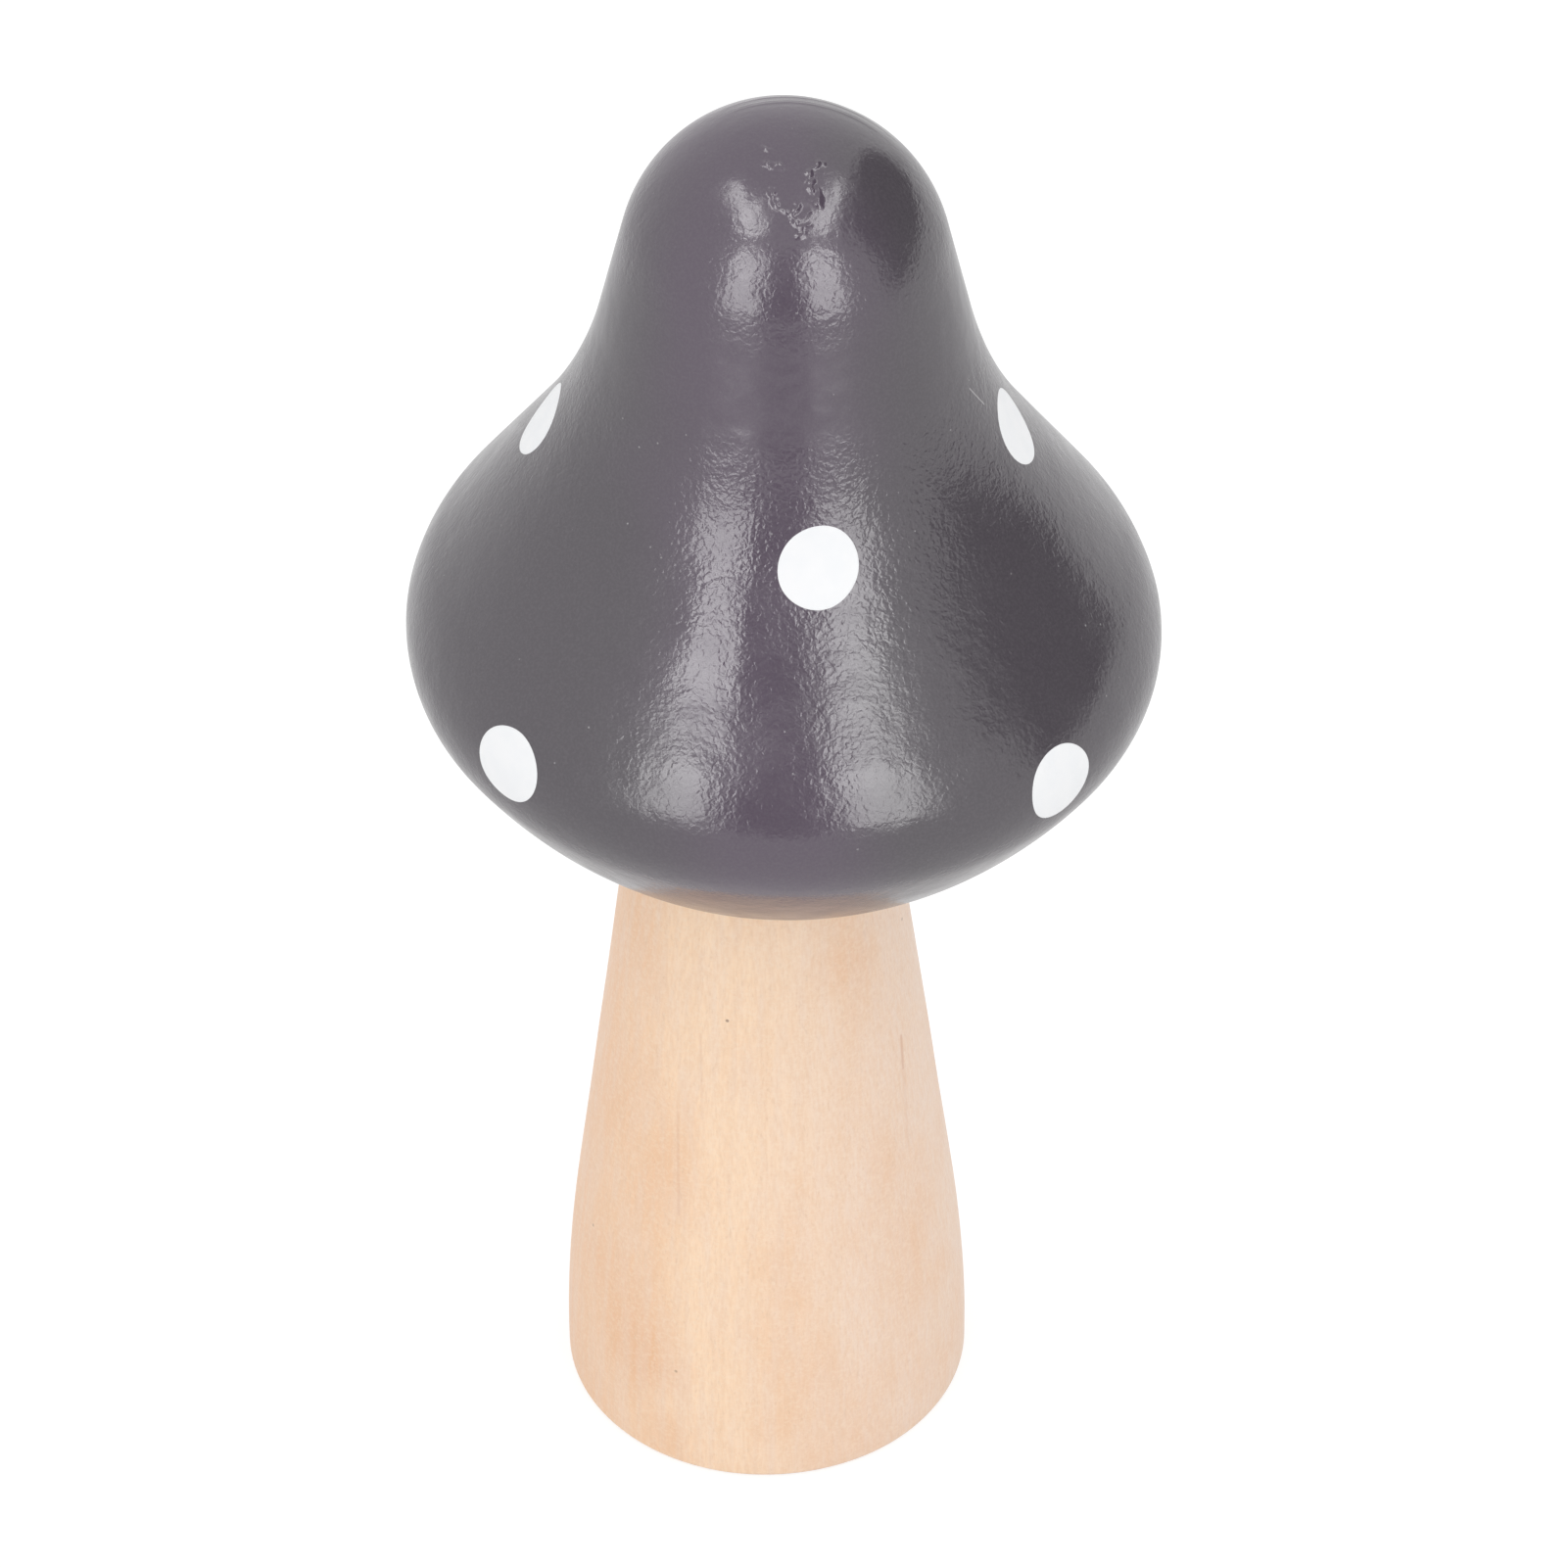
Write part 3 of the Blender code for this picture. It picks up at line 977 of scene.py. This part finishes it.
def wood_tone(wood, pale, warm, light, line):
    """The broad tone: the heart's side, clouds and growth rings."""
    from_heart = wood.away_from(HEART, wood.squeezed(0.0))
    clouds = wood.grain(wood.squeezed(0.5), CLOUD_SIZE)
    colour = wood.blend(wood.fade(from_heart, *FAR_SIDE, 0.0, 0.9), pale, light)
    colour = wood.blend(wood.fade(from_heart, *HEART_SIDE, 0.0, 0.75), colour, warm)
    colour = wood.blend(wood.fade(clouds, 0.42, 0.72, 0.0, 0.5), colour, warm)
    return wood.blend(wood.math("MULTIPLY", growth_rings(wood, from_heart), 0.16), colour, line)


# Warm patches of wood, and one patch of painted shade under the cap, all in the warm colour.
def warm_patches_and_shade(wood, colour, warm):
    edge = wood.math("MULTIPLY", wood.grain(wood.place, PATCH_BLUR), PATCH_BLUR)
    for turn, height, radius, strength in WARM_PATCHES_AND_SHADE:
        near = wood.math("ADD", wood.away_from(on_stem(turn, height)), edge)
        inside = wood.fade(near, radius * MM + PATCH_BLUR / 2, 0.3 * radius * MM, 0.0, strength)
        colour = wood.blend(inside, colour, warm)
    return colour


def veins_and_specks(wood, colour):
    for start, end, width, strength in VEINS:
        near = wood.away_from_line(on_stem(*start), on_stem(*end))
        colour = wood.blend(wood.fade(near, width * MM, VEIN_CORE, 0.0, strength), colour, VEIN_BROWN)
    for turn, height, strength in SPECKS:
        near = wood.away_from(on_stem(turn, height))
        colour = wood.blend(wood.fade(near, *SPECK_EDGE, 0.0, strength), colour, SPECK_BROWN)
    return colour


# %% The wood's fine grain and its seal
FIBRE_SIZE = 0.24 * MM
FIBRE_DEPTH = 0.006 * MM
STREAK_SIZE = 0.9 * MM
CURL_SIZE = 0.34 * MM
CURL_STRETCH = (0.9, 0.9, 1.1)
PORE_SIZE = 0.15 * MM
PORE_DEPTH = 0.008 * MM


def bare_wood(name, pale, warm, light, line):
    wood = Finish(name)
    fibres = wood.grain(wood.squeezed(0.15), FIBRE_SIZE)
    streaks = wood.grain(wood.squeezed(0.06), STREAK_SIZE)
    curls = wood.grain(wood.vector("MULTIPLY", wood.place, CURL_STRETCH), CURL_SIZE, detail=1.0, warp=0.8)
    pores = wood.fade(wood.grain(wood.squeezed(0.25), PORE_SIZE, detail=0.0), 0.64, 0.80)
    colour = warm_patches_and_shade(wood, wood_tone(wood, pale, warm, light, line), warm)
    colour = wood.blend(wood.fade(streaks, 0.35, 0.75, 0.0, 0.45), colour, light)
    colour = wood.blend(wood.fade(fibres, 0.30, 0.70, 0.42, 0.0), colour, line)
    # The curls lighten the wood: paler grain, and a painted silky sheen as well.
    colour = wood.blend(wood.fade(curls, 0.40, 0.72, 0.0, 0.30), colour, FLECK_PALE_AND_SHEEN)
    colour = wood.blend(wood.math("MULTIPLY", pores, 0.12), colour, PORE_BROWN)
    colour = veins_and_specks(wood, colour)
    normal = wood.bump(fibres, FIBRE_DEPTH)
    normal = wood.bump(wood.math("SUBTRACT", 1.0, pores), PORE_DEPTH, normal)
    wood.set(Base_Color=colour, Roughness=wood.fade(fibres, 0.3, 0.7, 0.56, 0.46), Normal=normal)
    wood.set(Coat_Weight=0.3, Coat_Roughness=0.30)
    return wood.material


dress(bare_wood("bare_wood", WOOD_PALE, WOOD_WARM, WOOD_LIGHT, WOOD_LINE), stem)

# %% [markdown]
# ## The dowel
#
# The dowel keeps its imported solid, because its shape is already right. It's the same kind of wood, but
# raw and a shade darker, so it takes the same recipe with other colours.

# %% Dowel wood
DOWEL_TONES = ((0.70, 0.52, 0.34), (0.60, 0.41, 0.24), (0.75, 0.58, 0.41), (0.50, 0.33, 0.19))
dress(bare_wood("dowel_wood", *DOWEL_TONES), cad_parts["dowel"])

# %% [markdown]
# ## The studio
#
# The reflections on the cap tell how the studio was lit. Two tall soft boxes stood on the table, left
# and right of the camera, and their lower edges end the bright bands above the rim. Two panels hung
# overhead and light the crown. Each was narrower at the back, so it's built from a broad part and a
# slim part. An area light of brightness 1 looks as bright as white paper here, so its power is worked
# out from its size. Real lamps are brighter than that, but then the exposure would have to go down with
# them. Instead, each lamp has a second panel behind it that adds only to reflections, and the light on
# the wood stays plain. The flash sits high in a soft box, so two shorter panels behind each box make
# its upper half brighter in two small steps.

# %% Soft lights
CAP_MIDDLE = Vector((0.0, 0.0, 95 * MM))
BOX_WIDTH = 0.40
BOX_HEIGHT = 0.89
BOX_DISTANCE = 1.0
BOX_LEGS = 0.065
OVERHEAD_RISE = 0.9
LAMP_LIGHT = 0.7
BOX_SHINE = 2.35
BOX_STEPS = ((0.46, 0.55), (0.62, 0.55))
OVERHEAD_SHINE = 3.8
SHINE_SETBACK = 0.01

# Watts for each square metre of a panel that looks as bright as white paper
WHITE_POWER = 4


def add_panel(name, width, height, brightness, place):
    lamp = bpy.data.lights.new(name, "AREA")
    lamp.shape = "RECTANGLE"
    lamp.size = width
    lamp.size_y = height
    lamp.energy = WHITE_POWER * brightness * width * height
    panel = bpy.data.objects.new(name, lamp)
    scene.collection.objects.link(panel)
    panel.matrix_world = place
    panel.visible_camera = False
    return panel


def add_shine(name, width, height, brightness, place, rise=0.0, layer=1):
    """A panel that only reflections see, some layers behind a lamp and a rise above its middle."""
    behind = place @ Matrix.Translation((0, rise, layer * SHINE_SETBACK))
    add_panel(name, width, height, brightness, behind).visible_diffuse = False


def add_lamp(name, width, height, place, shine):
    """A soft lamp that shines along its own -Z, with its shine behind it."""
    add_panel(name, width, height, LAMP_LIGHT, place)
    add_shine(name + "_shine", width, height, shine, place)


def add_soft_box(name, bearing):
    """An upright box that stands just off the table, square to the ornament. Bearing 0 is the front."""
    ahead = Matrix.Translation((0, -BOX_DISTANCE, BOX_LEGS + BOX_HEIGHT / 2))
    place = Matrix.Rotation(bearing, 4, "Z") @ ahead @ Matrix.Rotation(UPRIGHT, 4, "X")
    add_lamp(name, BOX_WIDTH, BOX_HEIGHT, place, BOX_SHINE)
    for step, (start, shine) in enumerate(BOX_STEPS):
        bright = (1 - start) * BOX_HEIGHT
        rise = (BOX_HEIGHT - bright) / 2
        add_shine(f"{name}_step_{step}", BOX_WIDTH, bright, shine, place, rise, layer=2 + step)


def add_panel_overhead(name, sideways, back, turn, width, length):
    """A lamp that hangs over the ornament and runs from front to back."""
    hanging = Matrix.Translation(CAP_MIDDLE + Vector((sideways, back, OVERHEAD_RISE)))
    add_lamp(name, width, length, hanging @ Matrix.Rotation(turn, 4, "Z"), OVERHEAD_SHINE)


add_soft_box("soft_box_left", math.radians(-28.8))
add_soft_box("soft_box_right", math.radians(28.4))
add_panel_overhead("overhead_left", -0.40, -0.38, 0.0, 0.29, 0.44)
add_panel_overhead("overhead_left_slim", -0.49, -0.03, math.radians(14), 0.16, 0.26)
add_panel_overhead("overhead_right", 0.455, -0.42, 0.0, 0.21, 0.34)
add_panel_overhead("overhead_right_slim", 0.535, -0.02, math.radians(-12), 0.12, 0.46)
print("The studio has", len(bpy.data.lights), "panels of light")

# %% [markdown]
# The white surroundings are the world. Light Path tells rays apart: the camera and mirror-like rays see
# plain white, while the light that falls on the ornament stays at a level where a colour looks as it
# was mixed.

# %% White surroundings
WORLD_LIGHT = 0.97
WORLD_SEEN = 1.0


def larger(tree, first, second):
    node = tree.nodes.new("ShaderNodeMath")
    node.operation = "MAXIMUM"
    tree.links.new(first, node.inputs[0])
    tree.links.new(second, node.inputs[1])
    return node.outputs[0]


def seen_rays(tree):
    """1 for camera, mirror and see-through rays, 0 for the rays that only carry light."""
    rays = tree.nodes.new("ShaderNodeLightPath").outputs
    camera_or_mirror = larger(tree, rays["Is Camera Ray"], rays["Is Glossy Ray"])
    return larger(tree, camera_or_mirror, rays["Is Transmission Ray"])


def white_world():
    world = bpy.data.worlds.new("white_surroundings")
    world.use_nodes = True
    tree = world.node_tree
    background = tree.nodes["Background"]
    background.inputs["Color"].default_value = grey(1.0)
    strength = tree.nodes.new("ShaderNodeMapRange")
    strength.inputs["To Min"].default_value = WORLD_LIGHT
    strength.inputs["To Max"].default_value = WORLD_SEEN
    tree.links.new(seen_rays(tree), strength.inputs["Value"])
    tree.links.new(strength.outputs[0], background.inputs["Strength"])
    return world


scene.world = white_world()
print("The world is seen at", WORLD_SEEN, "and lights the ornament at", WORLD_LIGHT)

# %% [markdown]
# The floor is white too. The camera sees part of its white as a glow and the rest as the light that
# falls on it, so the ornament keeps a soft shadow at its foot. Reflections see nearly the same mix, and
# rays that only carry light meet a plain pale floor.

# %% White floor
FLOOR_SIZE = 6.0
FLOOR_HEIGHT = -0.02 * MM
FLOOR_SEEN = {"glow": 0.72, "share": 0.36}
FLOOR_MIRRORED = {"glow": 0.55, "share": 0.42}
FLOOR_WHITE = 0.88


def add_flat(name, corners):
    mesh = bpy.data.meshes.new(name)
    mesh.from_pydata(corners, [], [tuple(range(len(corners)))])
    flat = bpy.data.objects.new(name, mesh)
    scene.collection.objects.link(flat)
    return flat


def pale_floor(tree, glow, share):
    """A floor that shows its light and shadow in part, and glows for the rest."""
    lit = tree.nodes.new("ShaderNodeBsdfDiffuse")
    lit.inputs["Color"].default_value = grey(share)
    glowing = tree.nodes.new("ShaderNodeEmission")
    glowing.inputs["Strength"].default_value = glow
    both = tree.nodes.new("ShaderNodeAddShader")
    tree.links.new(lit.outputs[0], both.inputs[0])
    tree.links.new(glowing.outputs[0], both.inputs[1])
    return both.outputs[0]


def choose(tree, amount, first, second):
    mix = tree.nodes.new("ShaderNodeMixShader")
    for socket, source in zip(mix.inputs, (amount, first, second)):
        tree.links.new(source, socket)
    return mix.outputs[0]


def floor_white():
    material = bpy.data.materials.new("floor_white")
    material.use_nodes = True
    tree = material.node_tree
    tree.nodes.remove(tree.nodes["Principled BSDF"])
    camera = tree.nodes.new("ShaderNodeLightPath").outputs["Is Camera Ray"]
    seen = choose(tree, camera, pale_floor(tree, **FLOOR_MIRRORED), pale_floor(tree, **FLOOR_SEEN))
    look = choose(tree, seen_rays(tree), pale_floor(tree, 0.0, FLOOR_WHITE), seen)
    tree.links.new(look, tree.nodes["Material Output"].inputs["Surface"])
    return material


half = FLOOR_SIZE / 2
corners = [(-half, -half), (half, -half), (half, half), (-half, half)]
floor = add_flat("floor", [(x, y, FLOOR_HEIGHT) for x, y in corners])
dress(floor_white(), floor)

# %% [markdown]
# Two darker things stood in the white room: something dark to the right, and the camera itself with all
# that is behind it. Only the paint's reflections show them, so they're two cards that other rays pass.
# A card's corners are directions from the cap: a bearing from the front towards +X, and a rise above
# level.

# %% Cards
CARD_DISTANCE = 1.1
WEAVE_SIZE = 2 * MM
DARK_SIDE = [
    (72, -5), (90, -3), (106, 1), (120, 1), (142, 5), (145, 17),
    (138, 34), (116, 47), (92, 52), (68, 47), (66, 30), (72, 22),
]
BEHIND_CAMERA = [(-13, -5), (13, -5), (13, 42), (-13, 42)]


def direction(bearing, rise):
    bearing, rise = math.radians(bearing), math.radians(rise)
    level = math.cos(rise)
    return Vector((level * math.sin(bearing), -level * math.cos(bearing), math.sin(rise)))


def card_grey(name, dark, light):
    card = Finish(name)
    weave = card.grain(card.place, WEAVE_SIZE)
    card.set(Base_Color=card.blend(weave, dark, light), Roughness=0.9)
    return card.material


def add_card(name, corners, material):
    card = add_flat(name, [CAP_MIDDLE + CARD_DISTANCE * direction(*corner) for corner in corners])
    card.visible_camera = False
    card.visible_diffuse = False
    card.visible_shadow = False
    dress(material, card)


add_card("dark_side", DARK_SIDE, card_grey("black_cloth", (0.012, 0.012, 0.013), (0.02, 0.02, 0.021)))
add_card("behind_camera", BEHIND_CAMERA, card_grey("grey_cloth", (0.20, 0.19, 0.20), (0.24, 0.23, 0.24)))

# %% [markdown]
# ## Colour
#
# The Standard view shows each colour as it was mixed, without a film look on top.

# %% Finish
scene.view_settings.view_transform = "Standard"
